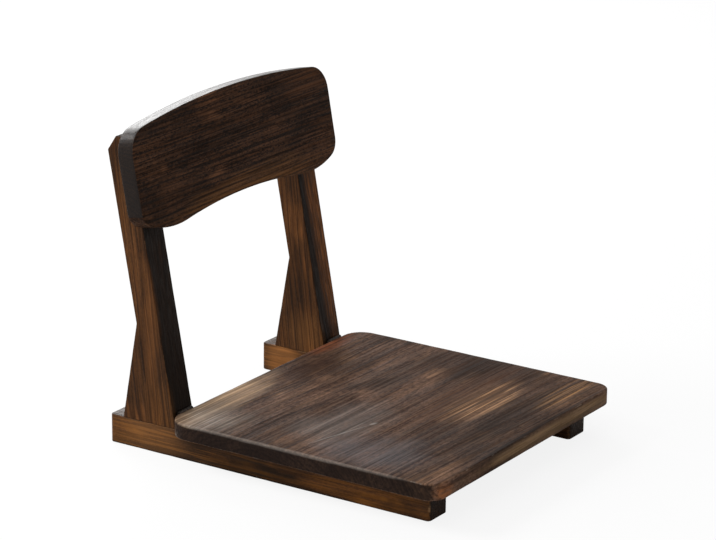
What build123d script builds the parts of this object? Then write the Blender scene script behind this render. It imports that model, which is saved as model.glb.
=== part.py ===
"""A low legless floor chair of scorched softwood, whose back folds forward onto the seat.

Millimetres. +X is the sitter's left, -Y the front, +Z up. The origin is on the floor, under the middle
of the chair's outline. A flat seat board lies on two runners, which run on behind it. Two leaning uprights
stand on those tails and carry the back board. A butt hinge lies in the narrow gap between the seat's rear
edge and the foot of each upright, so the back folds down and each foot lands on its runner when it opens.
"""

from build123d import *
from math import asin, cos, radians, sin, sqrt, tan
import os

os.makedirs("parts", exist_ok=True)

# Seat board: one flat board with its grain across the chair
seat_width = 400.0
seat_depth = 368.0
seat_thickness = 20.0
seat_front_corner_radius = 20.0
seat_rear_corner_radius = 27.0
seat_arris = 2.0

# Runners: the two rails that the chair stands on
runner_width = 38.0
runner_height = 35.0
runner_length = 444.2
runner_inset = 24.7         # from the seat's side edge to the runner's outer face
runner_setback = 23.0       # from the seat's front edge to the runner's front end
runner_end_radius = 5.0
runner_arris = 1.2

# Uprights: side profile of the leaning posts
lean = 10.7                 # of the front face, back from plumb
hinge_gap = 3.7             # from the seat's rear edge to the front face, at the runner's top
foot_clearance = 0.3        # the open stop: the foot lands on the runner
foot_length = 76.0
shank_depth = 33.1          # measured level, above the waist
waist_height = 154.0
top_height = 375.2
top_chamfer_depth = 11.5
top_chamfer_drop = 17.7
upright_arris = 1.2

# Back board, drawn on the plane of the uprights' front faces. Heights run up that plane from the runner's top
back_thickness = 21.6
back_half_width = 198.5
back_crown_height = 371.1   # top of the crown, on the centre line
back_crown_radius = 1200.0
back_shoulder_radius = 32.0
back_arch_height = 245.2    # of the shallow arch in the bottom edge, on the centre line
back_lobe_height = 235.3    # lowest points of the bottom edge
back_arch_radius = 800.0
back_lobe_radius = 136.0
back_corner_radius = 22.0
back_arris = 1.2

# Butt hinges
leaf_thickness = 1.5
leaf_length = 25.0          # along the pin
leaf_width = 14.6           # from the pin's axis to the leaf's lower edge
leaf_corner_radius = 2.0
pin_diameter = 3.2
pin_clearance = 0.05        # radial, in the knuckles
pin_head_radius = 2.5
pin_head_thickness = 0.9
pin_head_chamfer = 0.5
knuckle_relief = 0.3        # from the knuckles to the wood
knuckle_count = 5
knuckle_spacing = 0.35      # between neighbouring knuckles, along the pin
knuckle_notch_clearance = 0.5   # from a knuckle to the other leaf's cut-back edge

# Screws: (head diameter, shank diameter, length under the head's top)
hinge_screw = (5.6, 3.0, 12.0)
runner_screw = (8.0, 4.0, 34.0)
back_screw = (8.0, 4.0, 36.0)
counterbore_diameter = 9.0
runner_counterbore_depth = 15.0
back_counterbore_depth = 12.0
leaf_screw_spacing = 15.0
leaf_screw_drop = 8.6       # from the pin's axis to the screws' line
runner_screw_setbacks = (45.0, 185.0, 325.0)    # from the seat's front edge
back_screw_heights = (270.0, 314.0)

# Positions that follow from the sizes
front_edge = -(runner_setback + runner_length) / 2
seat_rear = front_edge + seat_depth
runner_front = front_edge + runner_setback
rail_centre = seat_width / 2 - runner_inset - runner_width / 2
foot_bottom = runner_height + foot_clearance
lean_angle = radians(lean)
foot_front = seat_rear + hinge_gap
knuckle_radius = pin_diameter / 2 + pin_clearance + leaf_thickness
axis_offset = knuckle_radius + knuckle_relief


def front_face(height):
    """Y of the uprights' front face at a height above the floor."""
    return foot_front + (height - runner_height) * tan(lean_angle)


# The pin lies in the wedge between the seat's rear edge and the front face, equally far from both
axis_y = seat_rear + axis_offset
axis_z = runner_height + (axis_offset + axis_offset / cos(lean_angle) - hinge_gap) / tan(lean_angle)

# X runs across the chair, Y up the leaning face and Z out of it, towards the sitter
back_plane = Plane(
    origin=(0, foot_front, runner_height), x_dir=(1, 0, 0), z_dir=(0, -cos(lean_angle), sin(lean_angle))
)


def screw(size):
    """A countersunk wood screw, blunt and without its thread. Its head's flat top is at the origin, and the
    shank runs down -Z."""
    head_diameter, shank_diameter, length = size
    head_height = (head_diameter - shank_diameter) / 2
    profile = Polyline(
        (0, 0),
        (head_diameter / 2, 0),
        (shank_diameter / 2, -head_height),
        (shank_diameter / 2, -length),
        (0, -length),
        close=True,
    )
    return revolve(Plane.XZ * make_face(profile), axis=Axis.Z)


def with_cross_recess(body, size):
    """The screw with the driver's cross sunk in its head."""
    head_diameter = size[0]
    slot_width = head_diameter * 0.14
    slot_length = head_diameter * 0.6
    recess_depth = head_diameter * 0.2
    for quarter_turn in (0, 90):
        body -= Rot(0, 0, quarter_turn) * Box(slot_length, slot_width, 2 * recess_depth)
    return body


def counterbore(depth):
    """The hole above a sunk screw head: it opens upwards from the origin."""
    return extrude(Circle(counterbore_diameter / 2), amount=depth + 1)


def down_screw_places():
    """Where the runners' screws sit, seen from below: head towards the floor, shank up in the seat."""
    turned_over = Rot(180, 0, 0)
    return [Pos(0, front_edge + setback, runner_counterbore_depth) * turned_over
            for setback in runner_screw_setbacks]


def back_screw_places():
    """Where the back board's screws sit: head in the upright's rear, tip in the board."""
    rear_depth = shank_depth * cos(lean_angle)
    return [back_plane.location * Pos(0, height, back_counterbore_depth - rear_depth) * Rot(180, 0, 0)
            for height in back_screw_heights]


def seat_leaf_screw_places():
    """Where the screws of a seat leaf sit: heads in the leaf, tips forward in the seat's rear edge."""
    head_y = seat_rear + leaf_thickness
    return [Pos(x, head_y, axis_z - leaf_screw_drop) * Rot(-90, 0, 0)
            for x in (-leaf_screw_spacing / 2, leaf_screw_spacing / 2)]


def back_leaf_screw_places():
    """Where the screws of a back leaf sit: heads in the leaf, tips back in the upright's foot."""
    return [Pos(0, axis_y, axis_z) * Rot(-lean, 0, 0)
            * Pos(x, axis_offset - leaf_thickness, -leaf_screw_drop) * Rot(90, 0, 0)
            for x in (-leaf_screw_spacing / 2, leaf_screw_spacing / 2)]


def seat_board():
    """The flat seat: rounded corners, larger behind, and arrises taken off all round."""
    outline = Rectangle(seat_width, seat_depth)
    outline = fillet(outline.vertices().group_by(Axis.Y)[0], radius=seat_front_corner_radius)
    outline = fillet(outline.vertices().group_by(Axis.Y)[-1], radius=seat_rear_corner_radius)
    board = extrude(outline, amount=seat_thickness)
    board = fillet(board.edges().group_by(Axis.Z)[0] + board.edges().group_by(Axis.Z)[-1], radius=seat_arris)
    board = Pos(0, front_edge + seat_depth / 2, runner_height) * board
    for side in (-1, 1):
        rail = Pos(side * rail_centre, 0, 0)
        for place in down_screw_places():
            board -= rail * place * screw(runner_screw)
        for place in seat_leaf_screw_places():
            board -= rail * place * screw(hinge_screw)
    return board


def runner(side):
    """A rail: its upright corners rounded, its long arrises eased, its screw holes bored from below."""
    rail = Pos(0, runner_front + runner_length / 2, runner_height / 2) * Box(
        runner_width, runner_length, runner_height
    )
    rail = fillet(rail.edges().filter_by(Axis.Z), radius=runner_end_radius)
    rail = fillet(rail.edges().group_by(Axis.Z)[0] + rail.edges().group_by(Axis.Z)[-1], radius=runner_arris)
    for place in down_screw_places():
        rail -= place * (screw(runner_screw) + counterbore(runner_counterbore_depth))
    return Pos(side * rail_centre, 0, 0) * rail


def upright(side):
    """A leaning post: flared foot, waist, straight shank, top chamfered behind."""
    chamfer_height = top_height - top_chamfer_drop
    profile = Polyline(
        (front_face(foot_bottom), foot_bottom),
        (front_face(top_height), top_height),
        (front_face(chamfer_height) + shank_depth - top_chamfer_depth, top_height),
        (front_face(chamfer_height) + shank_depth, chamfer_height),
        (front_face(waist_height) + shank_depth, waist_height),
        (foot_front + foot_length, foot_bottom),
        close=True,
    )
    post = extrude(Plane.YZ * make_face(profile), amount=runner_width / 2, both=True)
    foot_edges = post.edges().group_by(Axis.Z)[0]
    post = fillet(post.edges() - foot_edges, radius=upright_arris)
    for place in back_screw_places():
        post -= place * (screw(back_screw) + counterbore(back_counterbore_depth))
    for place in back_leaf_screw_places():
        post -= place * screw(hinge_screw)
    return Pos(side * rail_centre, 0, 0) * post


def back_outline():
    """The back board's face: arcs that meet in tangents, mirrored about the centre line.

    From the top: crown, shoulder, straight end, corner, lobe, and the arch between the lobes.
    """
    crown_centre = back_crown_height - back_crown_radius
    shoulder_x = back_half_width - back_shoulder_radius
    shoulder_y = crown_centre + sqrt((back_crown_radius - back_shoulder_radius) ** 2 - shoulder_x**2)
    crown_angle = asin(shoulder_x / (back_crown_radius - back_shoulder_radius))
    crown_end = (back_crown_radius * sin(crown_angle), crown_centre + back_crown_radius * cos(crown_angle))

    # The arch bulges up and the lobe down, so their centres lie one radius sum apart
    arch_centre = back_arch_height - back_arch_radius
    lobe_y = back_lobe_height + back_lobe_radius
    lobe_x = sqrt((back_arch_radius + back_lobe_radius) ** 2 - (lobe_y - arch_centre) ** 2)
    arch_share = back_arch_radius / (back_arch_radius + back_lobe_radius)
    arch_end = (lobe_x * arch_share, arch_centre + (lobe_y - arch_centre) * arch_share)

    # The corner arc runs inside the lobe's circle and ends on the straight end
    corner_x = back_half_width - back_corner_radius
    corner_y = lobe_y - sqrt((back_lobe_radius - back_corner_radius) ** 2 - (corner_x - lobe_x) ** 2)
    lobe_share = back_lobe_radius / (back_lobe_radius - back_corner_radius)
    lobe_end = (lobe_x + (corner_x - lobe_x) * lobe_share, lobe_y + (corner_y - lobe_y) * lobe_share)

    crown = RadiusArc((0, back_crown_height), crown_end, back_crown_radius)
    shoulder = RadiusArc(crown_end, (back_half_width, shoulder_y), back_shoulder_radius)
    end = Line((back_half_width, shoulder_y), (back_half_width, corner_y))
    corner = RadiusArc((back_half_width, corner_y), lobe_end, back_corner_radius)
    lobe = RadiusArc(lobe_end, arch_end, back_lobe_radius)
    arch = RadiusArc(arch_end, (0, back_arch_height), -back_arch_radius)
    half = make_face(
        crown + shoulder + end + corner + lobe + arch + Line((0, back_arch_height), (0, back_crown_height))
    )
    return half + mirror(half, about=Plane.YZ)


def back_panel():
    """The back board, its arrises taken off all round, screwed on from behind."""
    board = back_plane * extrude(back_outline(), amount=back_thickness)
    board = fillet(board.edges(), radius=back_arris)
    for side in (-1, 1):
        for place in back_screw_places():
            board -= Pos(side * rail_centre, 0, 0) * place * screw(back_screw)
    return board


def hinge_leaf(own_knuckles):
    """A leaf that hangs from the pin, which is on the X axis. The wood is behind it, at +Y.

    own_knuckles are the leaf's places among the barrel's knuckles, counted from -X. The sheet is cut
    back where the other leaf's knuckles turn.
    """
    pitch = leaf_length / knuckle_count
    sheet = Pos(0, axis_offset - leaf_thickness / 2, -leaf_width / 2) * Box(
        leaf_length - knuckle_spacing, leaf_thickness, leaf_width
    )
    lower_corners = sheet.edges().filter_by(Axis.Y).group_by(Axis.Z)[0]
    leaf = fillet(lower_corners, radius=leaf_corner_radius)
    notch_depth = knuckle_radius + knuckle_notch_clearance
    for index in range(knuckle_count):
        place = Pos((index + 0.5) * pitch - leaf_length / 2, 0, 0)
        if index in own_knuckles:
            leaf += place * extrude(
                Plane.YZ * Circle(knuckle_radius), amount=(pitch - knuckle_spacing) / 2, both=True
            )
        else:
            leaf -= place * Box(pitch + knuckle_spacing, 4 * knuckle_radius, 2 * notch_depth)
    leaf -= extrude(Plane.YZ * Circle(pin_diameter / 2 + pin_clearance), amount=leaf_length, both=True)
    return leaf


def seat_leaf(side):
    """The leaf on the seat's rear edge, with the outer and middle knuckles."""
    leaf = Pos(0, axis_y, axis_z) * Rot(0, 0, 180) * hinge_leaf(range(0, knuckle_count, 2))
    for place in seat_leaf_screw_places():
        leaf -= place * screw(hinge_screw)
    return Pos(side * rail_centre, 0, 0) * leaf


def back_leaf(side):
    """The leaf on the front of the upright's foot, with the knuckles in between."""
    leaf = Pos(0, axis_y, axis_z) * Rot(-lean, 0, 0) * hinge_leaf(range(1, knuckle_count, 2))
    for place in back_leaf_screw_places():
        leaf -= place * screw(hinge_screw)
    return Pos(side * rail_centre, 0, 0) * leaf


def hinge_pin(side):
    """The pin, with a low head riveted over at each end of the barrel."""
    pin = extrude(Plane.YZ * Circle(pin_diameter / 2), amount=leaf_length / 2, both=True)
    head = extrude(Plane.YZ * Circle(pin_head_radius), amount=pin_head_thickness)
    head = chamfer(head.edges().group_by(Axis.X)[-1], length=pin_head_chamfer)
    reach = (leaf_length - knuckle_spacing) / 2
    pin += Pos(reach, 0, 0) * head
    pin += Pos(-reach, 0, 0) * Rot(0, 0, 180) * head
    return Pos(side * rail_centre, axis_y, axis_z) * pin


def screw_group(side, size, places):
    """The screws of one joint, as separate solids."""
    one = with_cross_recess(screw(size), size)
    return Compound(children=[Pos(side * rail_centre, 0, 0) * place * one for place in places])


def write(node, shape):
    export_step(shape, os.path.join("parts", node + ".step"))


write("seat_board", seat_board())
write("back_panel", back_panel())
for name, side in (("right", -1), ("left", 1)):
    write(f"runner_{name}", runner(side))
    write(f"runner_{name}_screws", screw_group(side, runner_screw, down_screw_places()))
    write(f"upright_{name}", upright(side))
    write(f"panel_{name}_screws", screw_group(side, back_screw, back_screw_places()))
    write(f"hinge_{name}_seat_leaf", seat_leaf(side))
    write(f"hinge_{name}_back_leaf", back_leaf(side))
    write(f"hinge_{name}_pin", hinge_pin(side))
    write(f"hinge_{name}_seat_screws", screw_group(side, hinge_screw, seat_leaf_screw_places()))
    write(f"hinge_{name}_back_screws", screw_group(side, hinge_screw, back_leaf_screw_places()))

print(f"hinge axis y {axis_y:.3f}, z {axis_z:.3f}")
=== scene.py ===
"""A low legless floor chair of scorched softwood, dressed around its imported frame.

Metres. +X is the sitter's left, -Y the front of the seat, +Z up. The back folds forward on its hinges.
"""

from math import asin, cos, pi, radians, sin, sqrt, tan

import bmesh
import bpy
from mathutils import Euler, Matrix, Vector, noise


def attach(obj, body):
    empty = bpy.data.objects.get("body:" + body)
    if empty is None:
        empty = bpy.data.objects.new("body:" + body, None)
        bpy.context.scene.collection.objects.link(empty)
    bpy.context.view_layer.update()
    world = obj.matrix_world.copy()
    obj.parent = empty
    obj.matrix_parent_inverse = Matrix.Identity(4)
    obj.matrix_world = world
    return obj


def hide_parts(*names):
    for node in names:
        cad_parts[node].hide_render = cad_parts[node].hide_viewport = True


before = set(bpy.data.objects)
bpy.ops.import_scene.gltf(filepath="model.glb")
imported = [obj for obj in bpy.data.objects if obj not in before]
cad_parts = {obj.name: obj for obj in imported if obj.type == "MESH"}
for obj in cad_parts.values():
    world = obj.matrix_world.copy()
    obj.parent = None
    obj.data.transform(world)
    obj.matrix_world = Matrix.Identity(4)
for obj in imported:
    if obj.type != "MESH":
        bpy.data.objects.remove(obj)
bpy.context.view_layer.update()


# ---- Seat board ----------------------------------------------------------------------------------------
# One flat softwood board with its grain across the chair. It is planed, its corners sawn round and its
# arrises eased by hand, then it is scorched, wire brushed and waxed, and screwed down onto the two runners.

MM = 0.001

seat_width = 400 * MM
seat_depth = 368 * MM
seat_thickness = 20 * MM
seat_front_corner_radius = 20 * MM
seat_rear_corner_radius = 27 * MM
seat_arris = 2 * MM
seat_front = -233.6 * MM
seat_rear = seat_front + seat_depth
runner_height = 35 * MM
seat_top = runner_height + seat_thickness

sharp_turn = radians(50)
X, Y, Z = Vector((1, 0, 0)), Vector((0, 1, 0)), Vector((0, 0, 1))


def block(size, middle):
    """A block of wood, sawn square."""
    bm = bmesh.new()
    bmesh.ops.create_cube(bm, size=1)
    bmesh.ops.scale(bm, verts=bm.verts, vec=size)
    bmesh.ops.translate(bm, verts=bm.verts, vec=middle)
    return bm


def rise(edge):
    """How far an edge climbs from one end to the other."""
    return abs(edge.verts[0].co.z - edge.verts[1].co.z)


def round_off(bm, edges, radius, segments=4):
    """Rounds edges over to a radius."""
    bmesh.ops.bevel(
        bm, geom=edges, offset=radius, segments=segments, profile=0.5, affect="EDGES", material=-1)


def everything(bm):
    """All the elements of a mesh, as the operators take them."""
    return bm.verts[:] + bm.edges[:] + bm.faces[:]


def slice_board(bm, directions_and_steps):
    """Cuts the mesh into a fine net, which the wear can then move: thin across the grain and long down it."""
    for direction, step in directions_and_steps:
        reach = [vert.co.dot(direction) for vert in bm.verts]
        first, last = min(reach), max(reach)
        count = round((last - first) / step)
        for cut in range(1, count):
            place = direction * (first + (last - first) * cut / count)
            bmesh.ops.bisect_plane(bm, geom=everything(bm), dist=1e-6, plane_co=place, plane_no=direction)


def wear(bm, grain_turn, thickness, ridge=0.05 * MM, sway=0.1 * MM, arris_wear=0.5 * MM):
    """Moves the surface inwards as brushing and use do: ridges down the grain, a slow unevenness of the
    planed face, and arrises that are rubbed further in some places than in others. thickness is the
    direction that the long arrises lie to both sides of."""
    ridges_per_metre = Vector((9, 260, 260))
    sways_per_metre = 14
    rubs_per_metre = 45
    rubs_start = Vector((0, 0, 7))
    turn = Euler(grain_turn).to_matrix()
    bmesh.ops.recalc_face_normals(bm, faces=bm.faces)
    bm.normal_update()
    moves = []
    for vert in bm.verts:
        along = turn @ vert.co
        ridges = noise.noise(along * ridges_per_metre)
        slow = noise.noise(along * sways_per_metre)
        rubbed = noise.noise(along * rubs_per_metre + rubs_start)
        # 1 halfway round an arris, where the surface is turned by 45 degrees, and 0 on the faces beside it
        facing = vert.normal.dot(thickness) ** 2
        arris = 4 * facing * (1 - facing)
        depth = ridge * (1 + ridges) + sway * (1 + slow) / 2 + arris_wear * arris * max(0, rubbed)
        moves.append((vert, -vert.normal * depth))
    for vert, move in moves:
        vert.co += move


def finished(name, bm, body, nodes, slot, *materials):
    """The mesh as an object that stands for CAD nodes and rides with a body. Sharp turns stay sharp."""
    for face in bm.faces:
        face.smooth = True
    for edge in bm.edges:
        edge.smooth = edge.calc_face_angle(pi) < sharp_turn
    mesh = bpy.data.meshes.new(name)
    bm.to_mesh(mesh)
    bm.free()
    for material in materials:
        mesh.materials.append(material)
    piece = bpy.data.objects.new(name, mesh)
    bpy.context.scene.collection.objects.link(piece)
    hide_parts(*nodes)
    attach(piece, body)


def linear(colour):
    """A scene-linear colour from sRGB hex."""
    parts = [int(colour[place:place + 2], 16) / 255 for place in (1, 3, 5)]
    return [part / 12.92 if part <= 0.04045 else ((part + 0.055) / 1.055) ** 2.4 for part in parts] + [1]


def add(tree, kind, settings, inputs):
    """A shader node with its settings. An input is a value, an output, or a node, for its first output."""
    node = tree.nodes.new("ShaderNode" + kind)
    for name, value in settings.items():
        setattr(node, name, value)
    for socket, value in inputs.items():
        if isinstance(value, bpy.types.Node):
            value = value.outputs[0]
        if isinstance(value, bpy.types.NodeSocket):
            tree.links.new(value, node.inputs[socket])
        else:
            node.inputs[socket].default_value = value
    return node


eased = {"interpolation_type": "SMOOTHSTEP"}
product = {"operation": "MULTIPLY"}
product_added = {"operation": "MULTIPLY_ADD"}
larger = {"operation": "MAXIMUM"}


def scorched_wood(name, grain_turn, pith, ring_width, colours, bare, faces, patches=(), gloss=(0.5, 0.75),
                  rubbing=0.5, bareness=0.4, line=1.6 * MM, lining=0.5, crack=1.8 * MM, crackling=0.35,
                  wax=0.06, relief_depth=0.2 * MM):
    """Scorched, wire brushed and waxed softwood, as a solid pattern: rings about the pith, which show as long
    lines on the faces and as arcs at the ends. The fire darkens the late wood most. Brushing leaves it
    standing as ridges, and rubbing brings the brown early wood back.

    grain_turn turns the piece so that its grain runs along X. pith is then the heart's place, and ring_width
    a year's growth. colours are those of the char, the late wood, the early wood and the rubbed wood, and
    bare is the wood where an arris is knocked through. faces gives how deep each pair of faces is charred
    and how glossy it is, by its direction on the piece. A patch is a place that was rubbed or stained, or a
    painted sheen, highlight or shade: centre and reach in millimetres, colour, amount, how much it keeps to
    the grain's lines, and its turn about Z in degrees.

    gloss is the roughness where the surface is smoothest and where it is roughest. rubbing, bareness, lining
    and crackling say how strongly rubbed wood, bare arrises, dark fibres and char cracks show. line and crack
    are the widths that fibres and cracks are drawn at. wax is the wax's specular level.
    """
    slow_bend = 36 * MM
    quick_bend = 5 * MM
    trunk_taper = 0.02
    spell_width = 11 * MM
    spell_gain = 2.4
    fleck_size = 18 * MM
    thread_share = 0.4 * rubbing
    scorch_share = 0.55

    char, late_wood, early_wood, rubbed_wood = (linear(colour) for colour in colours)
    material = bpy.data.materials.new(name)
    material.use_nodes = True
    tree = material.node_tree
    shader = tree.nodes["Principled BSDF"]
    place = add(tree, "TexCoord", {}, {})
    grain = add(tree, "Mapping", {}, {"Vector": place.outputs["Object"], "Rotation": grain_turn})

    def streaks(length, width, detail=2.0, seed=0.0, bounds=None):
        """Noise in grains of this length along the wood and this width across it. With bounds it is eased
        from 0 at the first to 1 at the second."""
        squeezed = add(tree, "VectorMath", product_added, {
            0: grain, 1: (1 / length, 1 / width, 1 / width), 2: (seed, seed, seed)})
        grains = add(tree, "TexNoise", {}, {
            "Vector": squeezed, "Scale": 1.0, "Detail": detail, "Roughness": 0.6})
        if bounds is None:
            return grains
        return add(tree, "MapRange", eased, {"Value": grains, "From Min": bounds[0], "From Max": bounds[1]})

    # The trunk's slow bends carry the rings about 9 mm to each side, and its small ones a little over 1 mm,
    # because the noise keeps to the middle half of its range. Good and bad spells of years vary their width
    slow = streaks(420 * MM, 90 * MM, detail=1.0)
    quick = streaks(90 * MM, 22 * MM, seed=5.0)
    bent = add(tree, "VectorMath", product_added, {
        0: slow.outputs["Color"], 1: (0, slow_bend, slow_bend), 2: grain})
    bent = add(tree, "VectorMath", product_added, {
        0: quick.outputs["Color"], 1: (0, quick_bend, quick_bend), 2: bent})
    off_pith = add(tree, "VectorMath", {"operation": "SUBTRACT"}, {0: bent, 1: pith})
    across = add(tree, "VectorMath", product, {0: off_pith, 1: (trunk_taper, 1, 1)})
    radius = add(tree, "VectorMath", {"operation": "LENGTH"}, {0: across}).outputs["Value"]
    spells = add(tree, "TexNoise", {"noise_dimensions": "1D"}, {"W": radius, "Scale": 1 / spell_width})
    even_years = add(tree, "Math", product, {0: radius, 1: 1 / ring_width})
    years = add(tree, "Math", product_added, {0: spells, 1: spell_gain, 2: even_years})
    growth = add(tree, "Math", {"operation": "FRACT"}, {0: years})

    # Late wood comes slowly through the year and ends sharply with it
    late_comes = add(tree, "MapRange", eased, {"Value": growth, "From Min": 0.3, "From Max": 0.85})
    late_ends = add(tree, "MapRange", eased, {
        "Value": growth, "From Min": 0.9, "From Max": 1.0, "To Min": 1.0, "To Max": 0.0})
    late = add(tree, "Math", product, {0: late_comes, 1: late_ends})

    # Fibres are 0.5 mm wide in the wood, and char crackles 1 mm wide. Both are drawn as coarse as they must
    # be to show, and so are the threads of bare wood between them
    fibre = streaks(60 * line, line, bounds=(0.36, 0.64))
    thread = streaks(70 * line, 1.4 * line, seed=31.0, bounds=(0.47, 0.6))
    crackle = streaks(2.2 * crack, crack, detail=3.0, seed=17.0, bounds=(0.42, 0.6))
    strand = streaks(150 * MM, 6 * MM, seed=3.0, bounds=(0.35, 0.65))
    scorch = streaks(130 * MM, 48 * MM, detail=3.0, seed=11.0, bounds=(0.38, 0.62))
    cloud = streaks(90 * MM, 60 * MM, detail=3.0, seed=23.0)
    fleck = add(tree, "TexNoise", {}, {
        "Vector": place.outputs["Object"], "Scale": 1 / fleck_size, "Detail": 4.0, "Roughness": 0.7})
    fleck = add(tree, "MapRange", eased, {"Value": fleck, "From Min": 0.5, "From Max": 0.7})

    # Rubbing takes cloudy places, strand by strand, and the soft early wood first. Its threads lie everywhere
    rubbed = add(tree, "MapRange", eased, {
        "Value": cloud, "From Min": 0.62 - 0.2 * rubbing, "From Max": 0.85 - 0.2 * rubbing})
    rubbed = add(tree, "Math", product, {0: rubbed, 1: strand})
    softness = add(tree, "MapRange", eased, {"Value": late, "To Min": 1.0, "To Max": 0.3})
    rubbed = add(tree, "Math", product, {0: rubbed, 1: softness})
    rubbed_threads = add(tree, "Math", product, {0: thread, 1: thread_share})
    rubbed = add(tree, "Math", larger, {0: rubbed, 1: rubbed_threads})

    # The coats that lie on the early wood, from the first to the last: each one's share and its colour
    coats = [
        (late, late_wood),
        (add(tree, "Math", product, {0: fibre, 1: lining}), late_wood),
        (add(tree, "Math", product, {0: crackle, 1: crackling}), char),
        (rubbed, rubbed_wood),
        (add(tree, "Math", product, {0: scorch, 1: scorch_share}), char),
    ]

    # The gloss varies with the fibres and the clouds, half and half
    rough = add(tree, "Math", product, {0: fibre, 1: 0.5})
    rough = add(tree, "Math", product_added, {0: cloud, 1: 0.5, 2: rough})
    rough = add(tree, "MapRange", eased, {
        "Value": rough, "From Min": 0.2, "From Max": 0.8, "To Min": gloss[0], "To Max": gloss[1]})
    flat = 0.0
    for direction, charring, smoothness in faces:
        facing = add(tree, "VectorMath", {"operation": "DOT_PRODUCT"}, {
            0: place.outputs["Normal"], 1: direction}).outputs["Value"]
        facing = add(tree, "Math", {"operation": "ABSOLUTE"}, {0: facing})
        square_on = add(tree, "MapRange", eased, {"Value": facing, "From Min": 0.96, "From Max": 0.99})
        flat = add(tree, "Math", larger, {0: flat, 1: square_on})
        facing = add(tree, "MapRange", eased, {"Value": facing, "From Min": 0.6, "From Max": 0.95})
        coats.append((add(tree, "Math", product, {0: facing, 1: charring}), char))
        rough = add(tree, "Math", product_added, {0: facing, 1: -smoothness, 2: rough})

    # An arris is where no side of the normal stands out. It is knocked through in flecks, but not on the
    # faces named above, some of which are slanted
    absolute_normal = add(tree, "VectorMath", {"operation": "ABSOLUTE"}, {0: place.outputs["Normal"]})
    normal_sides = add(tree, "SeparateXYZ", {}, {0: absolute_normal})
    steepest = add(tree, "Math", larger, {0: normal_sides.outputs["X"], 1: normal_sides.outputs["Y"]})
    steepest = add(tree, "Math", larger, {0: steepest, 1: normal_sides.outputs["Z"]})
    arris = add(tree, "MapRange", eased, {
        "Value": steepest, "From Min": 0.8, "From Max": 0.96, "To Min": bareness, "To Max": 0.0})
    arris = add(tree, "Math", product, {0: arris, 1: fleck})
    off_faces = add(tree, "MapRange", eased, {"Value": flat, "To Min": 1.0, "To Max": 0.0})
    arris = add(tree, "Math", product, {0: arris, 1: off_faces})
    coats.append((arris, linear(bare)))

    for centre, reach, colour, amount, keeping, turn in patches:
        offset = add(tree, "Mapping", {"vector_type": "TEXTURE"}, {
            "Vector": place.outputs["Object"], "Location": [side * MM for side in centre],
            "Rotation": (0, 0, radians(turn)), "Scale": [side * MM for side in reach]})
        away = add(tree, "VectorMath", {"operation": "LENGTH"}, {0: offset}).outputs["Value"]
        away = add(tree, "Math", product_added, {0: cloud, 1: 0.9, 2: away})
        covered = add(tree, "MapRange", eased, {
            "Value": away, "From Min": 0.75, "From Max": 1.4, "To Min": amount, "To Max": 0.0})
        off_late = add(tree, "MapRange", eased, {
            "Value": late, "To Min": 1.0, "To Max": 1 - 0.6 * keeping})
        on_threads = add(tree, "MapRange", eased, {
            "Value": thread, "To Min": 1 - 0.85 * keeping, "To Max": 1.0})
        lines = add(tree, "Math", product, {0: off_late, 1: on_threads})
        coats.append((add(tree, "Math", product, {0: covered, 1: lines}), linear(colour)))

    wood = early_wood
    for share, colour in coats:
        wood = add(tree, "MixRGB", {}, {"Fac": share, "Color1": wood, "Color2": colour})

    relief = add(tree, "Math", product_added, {0: fibre, 1: -0.5, 2: late})
    relief = add(tree, "Math", product_added, {0: crackle, 1: -crackling, 2: relief})
    bump = add(tree, "Bump", {}, {"Strength": 0.7, "Distance": relief_depth, "Height": relief})
    tree.links.new(wood.outputs[0], shader.inputs["Base Color"])
    tree.links.new(rough.outputs[0], shader.inputs["Roughness"])
    tree.links.new(bump.outputs[0], shader.inputs["Normal"])
    shader.inputs["Specular IOR Level"].default_value = wax
    return material
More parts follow.
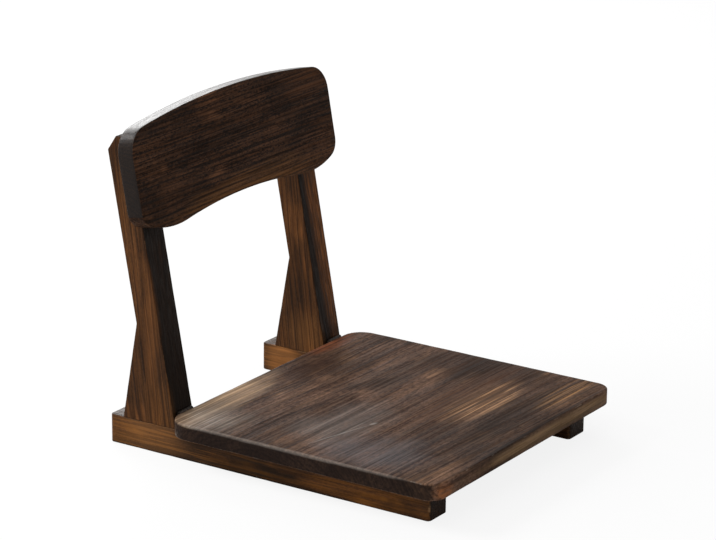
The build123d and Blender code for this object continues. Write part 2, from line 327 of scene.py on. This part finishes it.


# Brushed flat-sawn board: narrow lines in front, and wide ones from the middle back. The char is rubbed
# through to orange along the front, and bleached along the rear edge, with a painted sheen mixed in there.
# The right side's top carries a grey painted sheen and a painted highlight on its arris, and the front edge a
# painted shade line along its upper arris
seat_finish = scorched_wood(
    "scorched_brushed_seat_board",
    grain_turn=(0, 0, radians(1.5)),
    pith=(0, 20 * MM, -40 * MM),
    ring_width=6.4 * MM,
    colours=("#150F0D", "#443127", "#644B3D", "#8E6C52"),
    bare="#B0A294",
    faces=[((1, 0, 0), 0.85, 0.1)],
    patches=[
        # Burnt dark: the left side, a strip along the front and the middle of the rear
        ((155, -50, 55), (80, 120, 30), "#1A0E08", 0.75, 0.3, 0),
        ((20, -192, 55), (190, 46, 30), "#140B07", 0.8, 0.3, 1.5),
        ((38, 98, 55), (95, 38, 30), "#1E0C06", 0.85, 0.3, 0),
        # Rubbed brown, and within that worn through to an orange band. A second band lies further front
        ((70, -116, 55), (150, 60, 30), "#5A3820", 0.45, 0.5, 1.5),
        ((62, -136, 55), (110, 34, 30), "#CC9E74", 0.75, 1.0, 1.5),
        ((140, -204, 55), (90, 32, 30), "#B08458", 0.65, 1.0, 1.5),
        # The front edge: brown on its face, a painted shade line along its upper arris, and redder at its
        # right end
        ((60, -233, 45), (240, 8, 12), "#8C7050", 0.6, 0.4, 0),
        ((20, -230, 55), (200, 5, 3), "#1C1410", 0.85, 0.0, 0),
        ((-180, -233, 44), (25, 18, 14), "#8A5430", 0.7, 0.6, 0),
        # Bleached along the rear edge, with a painted sheen in that pale band, and rusty at its left corner
        ((-112, 118, 57), (160, 36, 8), "#B89A7A", 0.75, 0.6, 0),
        ((140, 126, 55), (70, 18, 30), "#7A3E20", 0.6, 0.6, 0),
        # Painted sheen: grey over the right side's top, and a painted highlight along its upper arris, over
        # wood rubbed pale there
        ((-165, 88, 57), (60, 62, 6), "#9A9288", 0.6, 0.6, 0),
        ((-90, -40, 57), (110, 70, 6), "#7C7672", 0.6, 0.5, 0),
        ((-150, -120, 57), (80, 100, 6), "#606064", 0.55, 0.4, 0),
        ((-199, -50, 54.5), (4, 260, 4), "#8A8078", 0.4, 0.2, 0),
        # The front left corner, burnt dark again over the rest
        ((160, -150, 55), (55, 55, 30), "#1E1009", 0.55, 0.3, 0),
        # One faint scratch with a nick at its end
        ((-121, -56, 55), (62, 2.0, 3), "#A8A29C", 0.28, 0.0, -15),
        ((-72, -69, 55), (9, 3.5, 3), "#B4AEA6", 0.35, 0.0, -15),
    ],
    bareness=0.3,
    line=3 * MM,
    lining=0.3,
    crack=3.2 * MM,
    crackling=0.55,
    wax=0.032,
    relief_depth=0.14 * MM,
)

seat = block((seat_width, seat_depth, seat_thickness),
             (0, (seat_front + seat_rear) / 2, (runner_height + seat_top) / 2))
for row, radius in ((seat_front, seat_front_corner_radius), (seat_rear, seat_rear_corner_radius)):
    corners = [edge for edge in seat.edges
               if rise(edge) > seat_thickness / 2 and abs(edge.verts[0].co.y - row) < 1 * MM]
    round_off(seat, corners, radius, segments=12)
round_off(seat, [edge for edge in seat.edges if rise(edge) < seat_thickness / 2], seat_arris)
slice_board(seat, [(X, 8 * MM), (Y, 2 * MM), (Z, 5 * MM)])
wear(seat, (0, 0, 0), Z)
finished("scorched_seat_board", seat, "base", ["seat_board"], "seat_wood", seat_finish)


# ---- Runners -------------------------------------------------------------------------------------------
# Two softwood rails, grain lengthwise, on which the chair stands. Their upright corners are well rounded, and
# each has three counterbores below for the screws that hold the seat. The sides are rubbed back to red brown.

runner_width = 38 * MM
runner_length = 444.2 * MM
runner_front = seat_front + 23 * MM
runner_end_radius = 5 * MM
runner_arris = 1.2 * MM
rail_centre = 156.3 * MM
runner_screw_setbacks = (45 * MM, 185 * MM, 325 * MM)
counterbore_radius = 4.5 * MM
runner_counterbore_depth = 15 * MM
head_stands_proud = 0.3 * MM
sides = {"right": -1, "left": 1}


def bore(bm, centre, out, side, radius, depth, margin=2.5 * MM, cuts=5):
    """Bores a flat-bottomed hole. out points out of the wood at the centre of its mouth, and side lies in
    the face. A square window is cut there, and its rim is bridged to the hole's, edge to edge. The hole's rim
    is made at the hole's depth and raised afterwards, because two rims in one plane may bridge crosswise."""
    up = out.cross(side)
    for direction in (side, up):
        for shift in (-radius - margin, radius + margin):
            bmesh.ops.bisect_plane(
                bm, geom=everything(bm), dist=1e-6, plane_co=centre + direction * shift, plane_no=direction)
    window = min(bm.faces, key=lambda face: (face.calc_center_median() - centre).length)
    window_edges = window.edges[:]
    bmesh.ops.delete(bm, geom=[window], context="FACES_ONLY")
    cut = bmesh.ops.subdivide_edges(bm, edges=window_edges, cuts=cuts)
    parts = cut["geom_inner"] + cut["geom_split"]
    window_rim = list(dict.fromkeys(item for item in parts if isinstance(item, bmesh.types.BMEdge)))
    place = Matrix((side, up, out)).transposed().to_4x4()
    place.translation = centre - out * depth
    mouth = bmesh.ops.create_circle(bm, segments=4 * (cuts + 1), radius=radius, matrix=place)["verts"]
    mouth_rim = list(dict.fromkeys(edge for vert in mouth for edge in vert.link_edges))
    bmesh.ops.bridge_loops(bm, edges=window_rim + mouth_rim)
    bmesh.ops.translate(bm, verts=mouth, vec=out * depth)
    wall = bmesh.ops.extrude_edge_only(bm, edges=mouth_rim)["geom"]
    bottom = [item for item in wall if isinstance(item, bmesh.types.BMVert)]
    bmesh.ops.translate(bm, verts=bottom, vec=-out * (depth + head_stands_proud))
    bmesh.ops.contextual_create(bm, geom=[item for item in wall if isinstance(item, bmesh.types.BMEdge)])


# Sawn rails, charred at the ends and, less deeply, above and below. The rubbed sides show red brown strands
# between dark lines
runner_finish = scorched_wood(
    "scorched_rubbed_runner",
    grain_turn=(0, 0, radians(-91)),
    pith=(0, -60 * MM, 70 * MM),
    ring_width=5.0 * MM,
    colours=("#140E0A", "#33200F", "#5A3719", "#80501F"),
    bare="#A07C58",
    faces=[((0, 1, 0), 0.85, 0.1), ((0, 0, 1), 0.6, 0.3)],
    patches=[
        # Worn light near the rear ends: the left rail's inner side and the right rail's outer one
        ((137, 198, 18), (12, 38, 34), "#9A6434", 0.7, 0.3, 0),
        ((-176, 172, 18), (12, 62, 34), "#8E6036", 0.4, 0.4, 0),
        # Darker along the right rail's lower outer arris, next to the floor
        ((-176, 0, 0), (8, 300, 5), "#1C130C", 0.8, 0.0, 0),
    ],
    rubbing=0.8,
    line=1.8 * MM,
    wax=0.09,
)

for name, side in sides.items():
    runner = block((runner_width, runner_length, runner_height),
                   (side * rail_centre, runner_front + runner_length / 2, runner_height / 2))
    corners = [edge for edge in runner.edges if rise(edge) > runner_height / 2]
    round_off(runner, corners, runner_end_radius, segments=8)
    round_off(runner, [edge for edge in runner.edges if rise(edge) < runner_height / 2], runner_arris)
    for setback in runner_screw_setbacks:
        mouth = Vector((side * rail_centre, seat_front + setback, 0))
        bore(runner, mouth, -Z, X, counterbore_radius, runner_counterbore_depth)
    slice_board(runner, [(Y, 8 * MM), (X, 2 * MM), (Z, 2 * MM)])
    wear(runner, (0, 0, radians(-90)), Z)
    finished(f"scorched_runner_{name}", runner, "base", [f"runner_{name}"], "frame_wood", runner_finish)


# ---- Uprights ------------------------------------------------------------------------------------------
# Two posts sawn from the same stock, leaning back, with a flared foot that lands on the runner when the back
# opens. Front and rear keep their char; the sides are rubbed red brown. The rear has two counterbores each.

lean = radians(10.7)
foot_front = seat_rear + 3.7 * MM
foot_bottom = runner_height + 0.3 * MM
foot_length = 76 * MM
shank_depth = 33.1 * MM
waist_height = 154 * MM
top_height = 375.2 * MM
top_chamfer_depth = 11.5 * MM
chamfer_height = top_height - 17.7 * MM
upright_arris = 1.2 * MM
back_screw_heights = (270 * MM, 314 * MM)
back_counterbore_depth = 12 * MM

up_post = Vector((0, sin(lean), cos(lean)))
behind_post = Vector((0, cos(lean), -sin(lean)))
post_foot = Vector((0, foot_front, runner_height))
chamfer_facing = Vector((0, top_height - chamfer_height, top_chamfer_depth)).normalized()


def front_face(height):
    """Y of the posts' front face at a height above the floor."""
    return foot_front + (height - runner_height) * tan(lean)


def grow(bm, faces, move):
    """Pulls a flat outline out into a solid, with its faces turned outwards."""
    grown = bmesh.ops.extrude_face_region(bm, geom=faces, use_keep_orig=True)["geom"]
    bmesh.ops.translate(bm, verts=[item for item in grown if isinstance(item, bmesh.types.BMVert)], vec=move)
    bmesh.ops.recalc_face_normals(bm, faces=bm.faces)


# Turned about X by the lean and about Y by a quarter, the grain, which runs up the post, lies along X
post_grain = (lean, radians(90), 0)

# Sawn posts. The grain is 4 degrees off the post's own line, so on the sides its lines run out in front and
# behind
upright_finish = scorched_wood(
    "scorched_rubbed_upright",
    grain_turn=(radians(6.4), radians(90), 0),
    pith=(0, 40 * MM, 60 * MM),
    ring_width=4.6 * MM,
    colours=("#120D0A", "#372110", "#54351B", "#7C4D28"),
    bare="#8E6A48",
    faces=[(behind_post, 0.9, 0.05), ((0, 0, 1), 0.8, 0.0), (chamfer_facing, 0.8, 0.0)],
    patches=[
        # The left post's front is rubbed brown along its outer half, all the way up
        ((170, 170, 190), (27, 80, 230), "#7A4A24", 0.85, 0.6, 0),
        # Worn light: a streak up the right post's outer side, its foot there, and the left foot's inner side
        ((-176, 172, 150), (10, 16, 110), "#8E5A30", 0.35, 0.5, 0),
        ((-176, 160, 60), (10, 40, 44), "#8A5A2C", 0.15, 0.6, 0),
        ((137, 165, 60), (10, 40, 44), "#8A5C30", 0.3, 0.6, 0),
    ],
    rubbing=0.7,
)

for name, side in sides.items():
    post = bmesh.new()
    profile = [
        (front_face(foot_bottom), foot_bottom),
        (front_face(top_height), top_height),
        (front_face(chamfer_height) + shank_depth - top_chamfer_depth, top_height),
        (front_face(chamfer_height) + shank_depth, chamfer_height),
        (front_face(waist_height) + shank_depth, waist_height),
        (foot_front + foot_length, foot_bottom),
    ]
    cheek_x = side * rail_centre - runner_width / 2
    cheek = post.faces.new([post.verts.new((cheek_x, y, z)) for y, z in profile])
    grow(post, [cheek], X * runner_width)
    above_foot = [edge for edge in post.edges if max(vert.co.z for vert in edge.verts) > foot_bottom + 1 * MM]
    round_off(post, above_foot, upright_arris)
    rear_face = post_foot + behind_post * shank_depth * cos(lean) + X * side * rail_centre
    for height in back_screw_heights:
        mouth = rear_face + up_post * height
        bore(post, mouth, behind_post, X, counterbore_radius, back_counterbore_depth)
    slice_board(post, [(up_post, 8 * MM), (X, 2 * MM), (behind_post, 2 * MM)])
    wear(post, post_grain, X)
    finished(f"scorched_upright_{name}", post, "backrest", [f"upright_{name}"], "frame_wood", upright_finish)


# ---- Back board ----------------------------------------------------------------------------------------
# One softwood board with its grain across, sawn to a low crown above and a shallow arch between two lobes
# below. It is the most deeply charred piece, with its edges sanded and waxed smooth. Four screws hold it.

back_thickness = 21.6 * MM
back_half_width = 198.5 * MM
back_crown_height = 371.1 * MM
back_crown_radius = 1200 * MM
back_shoulder_radius = 32 * MM
back_arch_height = 245.2 * MM
back_lobe_height = 235.3 * MM
back_arch_radius = 800 * MM
back_lobe_radius = 136 * MM
back_corner_radius = 22 * MM
back_arris = 1.2 * MM


def turn_about(bm, vert, centre, end, steps):
    """Draws an arc from the vertex about the centre to an end point, and returns its last vertex."""
    centre, end = Vector((*centre, 0)), Vector((*end, 0))
    angle = (vert.co - centre).xy.angle_signed((end - centre).xy)
    arc = bmesh.ops.spin(
        bm, geom=[vert], cent=centre, axis=(0, 0, 1), angle=-angle, steps=steps, use_duplicate=False)
    return next(item for item in arc["geom_last"] if isinstance(item, bmesh.types.BMVert))


# One board, so its face and its edges share the rings
back_wood = {"grain_turn": (lean, 0, 0), "pith": (0, 190 * MM, 250 * MM), "ring_width": 3.6 * MM}

# The deepest char, cracked all over into short dark grains, with brown wood between them
back_finish = scorched_wood(
    "deeply_scorched_back_board",
    **back_wood,
    colours=("#0C0705", "#22150D", "#4A3020", "#7A5238"),
    bare="#5A4636",
    faces=[((1, 0, 0), 0.35, 0.0)],
    patches=[
        # Browner along the arch and at the left shoulder
        ((20, 180, 276), (230, 60, 34), "#6E4A2A", 0.7, 0.7, 0),
        ((150, 190, 380), (80, 60, 30), "#5E3C26", 0.5, 0.8, 0),
    ],
    line=1.7 * MM,
    crack=1.9 * MM,
    crackling=0.85,
    wax=0.04,
)
# Hands have polished the crown, less so down the ends. The underside stays as dry as the face
back_crown_finish = scorched_wood(
    "hand_polished_back_board_crown",
    **back_wood,
    colours=("#100B09", "#181210", "#2A1E17", "#3C2C20"),
    bare="#5A4A3C",
    faces=[((1, 0, 0), 0.5, -0.6)],
    gloss=(0.3, 0.42),
    bareness=0.2,
    wax=0.22,
    relief_depth=0.05 * MM,
)

# The arcs meet in tangents, so each joint lies on the line through its two arcs' centres
crown_centre = back_crown_height - back_crown_radius
shoulder_x = back_half_width - back_shoulder_radius
shoulder_y = crown_centre + sqrt((back_crown_radius - back_shoulder_radius) ** 2 - shoulder_x**2)
crown_angle = asin(shoulder_x / (back_crown_radius - back_shoulder_radius))
crown_end = (back_crown_radius * sin(crown_angle), crown_centre + back_crown_radius * cos(crown_angle))
arch_centre = back_arch_height - back_arch_radius
lobe_y = back_lobe_height + back_lobe_radius
lobe_x = sqrt((back_arch_radius + back_lobe_radius) ** 2 - (lobe_y - arch_centre) ** 2)
arch_share = back_arch_radius / (back_arch_radius + back_lobe_radius)
arch_end = (lobe_x * arch_share, arch_centre + (lobe_y - arch_centre) * arch_share)
corner_x = back_half_width - back_corner_radius
corner_y = lobe_y - sqrt((back_lobe_radius - back_corner_radius) ** 2 - (corner_x - lobe_x) ** 2)
lobe_share = back_lobe_radius / (back_lobe_radius - back_corner_radius)
lobe_end = (lobe_x + (corner_x - lobe_x) * lobe_share, lobe_y + (corner_y - lobe_y) * lobe_share)
weld = 0.01 * MM

# Half the outline, from the middle of the crown round to the middle of the arch, then its mirror image
board = bmesh.new()
point = board.verts.new((0, back_crown_height, 0))
point = turn_about(board, point, (0, crown_centre), crown_end, 12)
point = turn_about(board, point, (shoulder_x, shoulder_y), (back_half_width, shoulder_y), 10)
corner = board.verts.new((back_half_width, corner_y, 0))
board.edges.new((point, corner))
point = turn_about(board, corner, (corner_x, corner_y), lobe_end, 8)
point = turn_about(board, point, (lobe_x, lobe_y), arch_end, 10)
turn_about(board, point, (0, arch_centre), (0, back_arch_height), 12)
bmesh.ops.mirror(board, geom=everything(board), axis="X", merge_dist=weld)
bmesh.ops.remove_doubles(board, verts=board.verts, dist=weld)
bmesh.ops.contextual_create(board, geom=board.edges[:])
grow(board, board.faces[:], Z * back_thickness)
round_off(board, [edge for edge in board.edges if rise(edge) < back_thickness / 2], back_arris)
slice_board(board, [(X, 8 * MM), (Y, 2 * MM), (Z, 5 * MM)])
wear(board, (0, 0, 0), Z, ridge=0.015 * MM, sway=0.06 * MM, arris_wear=0.3 * MM)

# The crown's finish goes on the rim, but not where it looks down
board.normal_update()
for face in board.faces:
    face.material_index = int(face.normal.y > -0.3 and abs(face.normal.z) < 0.7)

# The board's own frame has X across the chair, Y up the posts' front faces and Z out of them, to the sitter
onto_posts = Matrix((X, up_post, -behind_post)).transposed().to_4x4()
onto_posts.translation = post_foot
bmesh.ops.transform(board, matrix=onto_posts, verts=board.verts)
finished("scorched_back_board", board, "backrest", ["back_panel"], "back_wood",
         back_finish, back_crown_finish)


# ---- Butt hinges ---------------------------------------------------------------------------------------
# Two steel butt hinges lie in the gap between the seat's rear edge and the uprights' feet. They are pressed
# from sheet, rolled about their pins and blackened in a bath, which leaves a cloudy, slightly brown black.


def steel(name, colour, stain, rough, grit, specks_per_cloud=6, spread=0.15):
    """Plated or blackened steel: the finish is cloudy, and its gloss differs from speck to speck."""
    material = bpy.data.materials.new(name)
    material.use_nodes = True
    tree = material.node_tree
    shader = tree.nodes["Principled BSDF"]
    place = add(tree, "TexCoord", {}, {})
    clouds = add(tree, "TexNoise", {}, {"Vector": place.outputs["Object"], "Scale": 1 / grit, "Detail": 4.0})
    specks = add(tree, "TexNoise", {}, {
        "Vector": place.outputs["Object"], "Scale": specks_per_cloud / grit, "Detail": 2.0})
    share = add(tree, "MapRange", {}, {"Value": clouds, "From Min": 0.35, "From Max": 0.65})
    tint = add(tree, "MixRGB", {}, {"Fac": share, "Color1": linear(colour), "Color2": linear(stain)})
    gloss = add(tree, "MapRange", {}, {"Value": specks, "To Min": rough - spread, "To Max": rough + spread})
    bump = add(tree, "Bump", {}, {"Strength": 0.3, "Distance": 0.03 * MM, "Height": specks})
    tree.links.new(tint.outputs[0], shader.inputs["Base Color"])
    tree.links.new(gloss.outputs[0], shader.inputs["Roughness"])
    tree.links.new(bump.outputs[0], shader.inputs["Normal"])
    shader.inputs["Metallic"].default_value = 1.0
    return material


def plate(node, material):
    """Gives a node's solids their finish."""
    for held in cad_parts[node].material_slots:
        held.material = material


blackened_steel = steel("blackened_rolled_steel", "#1C1917", "#3A322C", 0.45, 2 * MM)
for name in sides:
    for part in ("seat_leaf", "back_leaf", "pin", "seat_screws", "back_screws"):
        plate(f"hinge_{name}_{part}", blackened_steel)


# ---- Wood screws ---------------------------------------------------------------------------------------
# Countersunk steel screws, yellow zinc plated. Their heads lie at the bottom of the counterbores, three up
# through each runner into the seat, and two through each upright into the back board.

zinc_steel = steel("yellow_zinc_plated_steel", "#B39A62", "#8E7F5C", 0.35, 1.5 * MM)
for name in sides:
    plate(f"runner_{name}_screws", zinc_steel)
    plate(f"panel_{name}_screws", zinc_steel)


# ---- Floor, light and camera ---------------------------------------------------------------------------
# A white studio floor under an even white sky. Two soft boxes, above and to the right, shape the wood, and
# two windows behind the chair gloss what is seen at a slant. The camera stands in front, to the right.

floor_size = 30.0
floor_shown_white = 0.86
sky_on_wood = 0.45

floor_mesh = bmesh.new()
bmesh.ops.create_grid(floor_mesh, x_segments=1, y_segments=1, size=floor_size / 2)
mesh = bpy.data.meshes.new("floor")
floor_mesh.to_mesh(mesh)
floor_mesh.free()
floor = bpy.data.objects.new("floor", mesh)
bpy.context.scene.collection.objects.link(floor)

# Matt white paint. The camera sees it mostly as plain white, and the rest keeps the chair's shadow
floor_paint = bpy.data.materials.new("white_floor")
floor_paint.use_nodes = True
tree = floor_paint.node_tree
matt = tree.nodes["Principled BSDF"]
matt.inputs["Base Color"].default_value = linear("#E6E6E6")
matt.inputs["Roughness"].default_value = 0.9
matt.inputs["Specular IOR Level"].default_value = 0.1
ray = add(tree, "LightPath", {}, {})
white = add(tree, "Emission", {}, {"Strength": 1.0})
share = add(tree, "Math", product, {0: ray.outputs["Is Camera Ray"], 1: floor_shown_white})
shown = add(tree, "MixShader", {}, {0: share, 1: matt.outputs[0], 2: white})
tree.links.new(shown.outputs[0], tree.nodes["Material Output"].inputs["Surface"])
mesh.materials.append(floor_paint)

# The sky is white to look at and in reflections, and dimmer as a light
sky = bpy.data.worlds.new("studio")
bpy.context.scene.world = sky
sky.use_nodes = True
tree = sky.node_tree
ray = add(tree, "LightPath", {}, {})
seen = add(tree, "Math", larger, {0: ray.outputs["Is Camera Ray"], 1: ray.outputs["Is Glossy Ray"]})
seen = add(tree, "Math", larger, {0: seen, 1: ray.outputs["Is Transmission Ray"]})
strength = add(tree, "MapRange", {}, {"Value": seen, "To Min": sky_on_wood, "To Max": 1.0})
tree.links.new(strength.outputs[0], tree.nodes["Background"].inputs["Strength"])
tree.nodes["Background"].inputs["Color"].default_value = (1, 1, 1, 1)


def lamp(name, kind, power, place, aim, size):
    """A lamp at a place, turned to its aim. A sun's size is its angle, a window's its width and height."""
    light = bpy.data.lights.new(name, kind)
    light.energy = power
    if kind == "AREA":
        light.shape = "RECTANGLE"
        light.size, light.size_y = size
    else:
        light.angle = size
    holder = bpy.data.objects.new(name, light)
    bpy.context.scene.collection.objects.link(holder)
    holder.location = place
    holder.rotation_euler = (Vector(aim) - Vector(place)).to_track_quat("-Z", "Y").to_euler()
    holder.visible_camera = False


lamp("overhead_softbox", "SUN", 0.55, (-1.2, 0.6, 3.0), (0, 0, 0), radians(60))
lamp("side_softbox", "SUN", 0.6, (-3.0, -0.6, 1.2), (0, 0, 0), radians(50))
lamp("low_back_window", "AREA", 52, (1.45, 2.25, 1.55), (0, 0.15, 0.25), (1.8, 1.8))
lamp("high_back_window", "AREA", 60, (-0.95, 2.2, 1.85), (0, 0.15, 0.3), (1.3, 0.8))

camera_azimuth = radians(-56.938)
camera_elevation = radians(17.699)
camera_roll = radians(0.640)
camera_distance = 3650.93 * MM
camera_target = Vector((-43.217, -26.4, 225.321)) * MM
lens_millimetres = 159.70
sensor_millimetres = 36

lens = bpy.data.cameras.new("camera")
lens.sensor_width = sensor_millimetres
lens.lens = lens_millimetres
lens.clip_end = 2 * floor_size
camera = bpy.data.objects.new("camera", lens)
bpy.context.scene.collection.objects.link(camera)
turn = Matrix.Rotation(camera_azimuth, 4, "Z") @ Matrix.Rotation(pi / 2 - camera_elevation, 4, "X")
back = (turn @ Vector((0, 0, 1, 0))).xyz
camera.matrix_world = (
    Matrix.Translation(camera_target + back * camera_distance) @ turn @ Matrix.Rotation(camera_roll, 4, "Z"))
bpy.context.scene.camera = camera
bpy.context.scene.view_settings.view_transform = "Standard"
